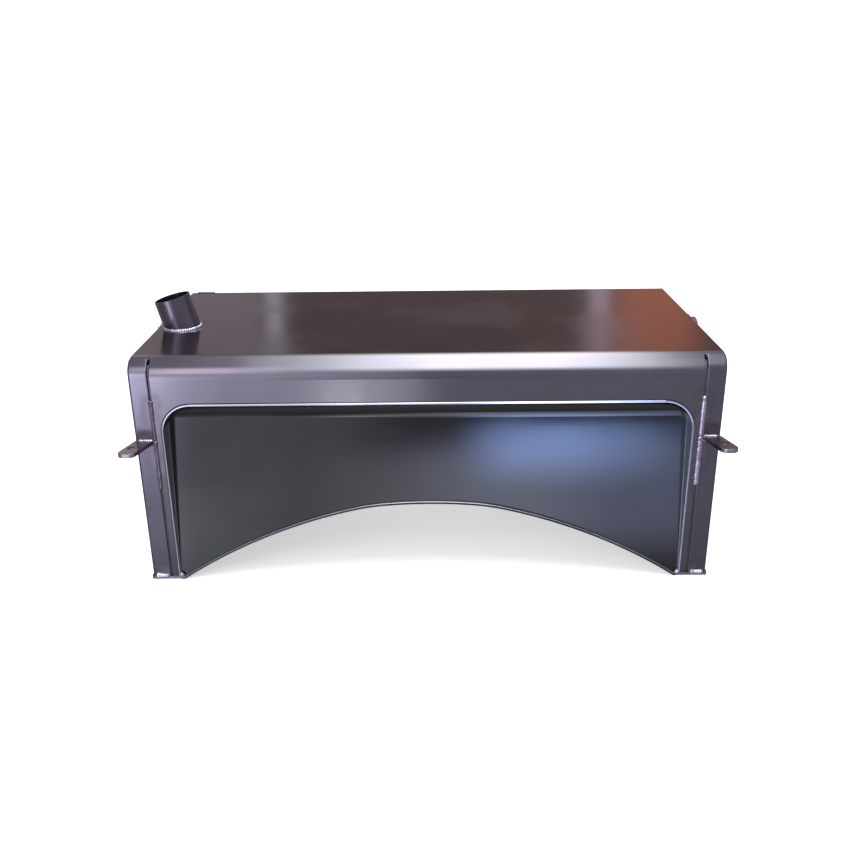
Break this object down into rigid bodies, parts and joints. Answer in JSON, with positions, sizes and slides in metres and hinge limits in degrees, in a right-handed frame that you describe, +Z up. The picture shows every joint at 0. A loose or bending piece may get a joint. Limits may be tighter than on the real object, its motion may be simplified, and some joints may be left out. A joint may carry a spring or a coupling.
{
  "type": "hydraulic reservoir",
  "caption": "Welded steel saddle-type hydraulic reservoir with an arch through its underside, a sloping front recess, a tilted open filler neck and front mounting ears.",
  "frame": {"origin": "centre of the bounding box's bottom face, on the plane that the two feet stand on", "axes": "+X to the right seen from the front, along the tank's length; +Y from the front face to the back; +Z up"},
  "size_m": [0.9422, 0.505, 0.4352],
  "materials": {
    "wrapper_steel": "bare cold-rolled sheet, dark with oil",
    "end_steel": "bare cold-rolled sheet, dark with oil",
    "recess_steel": "bare cold-rolled sheet, dark with oil",
    "rear_steel": "bare cold-rolled sheet, dark with oil",
    "arch_steel": "bare sheet, cut edge bright",
    "plate_steel": "hot-rolled plate, heat-tinted by welding",
    "tube_steel": "bare steel tube, dark with oil",
    "coupling_steel": "turned steel",
    "inner_steel": "bare steel, unpolished",
    "weld_metal": "as-welded bead"
  },
  "bodies": {
    "root": {"arch_plate": "arch_steel", "baffle_left": "inner_steel", "baffle_right": "inner_steel", "drain_coupling_left": "coupling_steel", "drain_coupling_right": "coupling_steel", "drain_coupling_weld_left": "weld_metal", "drain_coupling_weld_right": "weld_metal", "ear_weld_left": "weld_metal", "ear_weld_right": "weld_metal", "ear_weld_under_left": "weld_metal", "ear_weld_under_right": "weld_metal", "end_plate_left": "end_steel", "end_plate_right": "end_steel", "filler_neck": "tube_steel", "filler_neck_weld": "weld_metal", "foot_plate_left": "plate_steel", "foot_plate_right": "plate_steel", "foot_weld_left": "weld_metal", "foot_weld_right": "weld_metal", "inner_seam_weld_left": "inner_steel", "inner_seam_weld_right": "inner_steel", "mounting_ear_left": "plate_steel", "mounting_ear_right": "plate_steel", "rear_corner_weld_left": "weld_metal", "rear_corner_weld_right": "weld_metal", "rear_panel": "rear_steel", "recess_panel": "recess_steel", "return_coupling": "coupling_steel", "return_coupling_weld": "weld_metal", "return_drop_tube": "inner_steel", "seam_weld_lower_left": "weld_metal", "seam_weld_lower_right": "weld_metal", "seam_weld_upper_left": "weld_metal", "seam_weld_upper_right": "weld_metal", "suction_coupling": "coupling_steel", "suction_coupling_weld": "weld_metal", "top_front_wrapper": "wrapper_steel"}
  },
  "joints": []
}
